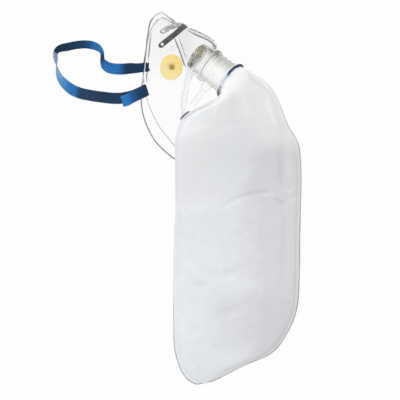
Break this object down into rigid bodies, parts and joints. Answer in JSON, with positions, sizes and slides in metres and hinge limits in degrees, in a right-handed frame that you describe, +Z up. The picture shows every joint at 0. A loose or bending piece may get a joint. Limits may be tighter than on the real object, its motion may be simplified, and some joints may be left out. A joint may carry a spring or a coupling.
{
  "type": "oxygen face mask with reservoir bag",
  "caption": "Clear oxygen face mask lying on its side, with nose clip, yellow valve flap, front connector, white reservoir bag and blue elastic head strap.",
  "frame": {"origin": "centre of the footprint, at the height of the table that it lies on", "axes": "+Y from the foot of the bag to the nose of the mask, +X forward from the face, +Z up from the table, to the wearer's right"},
  "size_m": [0.2229, 0.3325, 0.0979],
  "materials": {
    "clear_vinyl": "clear soft vinyl, glossy",
    "clear_rigid_plastic": "clear moulded plastic, glossy",
    "aluminium": "embossed dark aluminium",
    "yellow_silicone": "soft satin",
    "tan_silicone": "soft satin",
    "blue_band": "satin",
    "white_film": "translucent welded film",
    "blue_elastic": "woven elastic webbing"
  },
  "bodies": {
    "root": {"mask_shell": "clear_vinyl", "nose_clip": "aluminium", "exhalation_valve_flap": "yellow_silicone", "connector_body": "clear_rigid_plastic", "inlet_valve_seat": "clear_rigid_plastic", "inlet_valve_flap": "tan_silicone", "neck_band": "blue_band", "reservoir_bag": "white_film", "head_strap": "blue_elastic"}
  },
  "joints": []
}
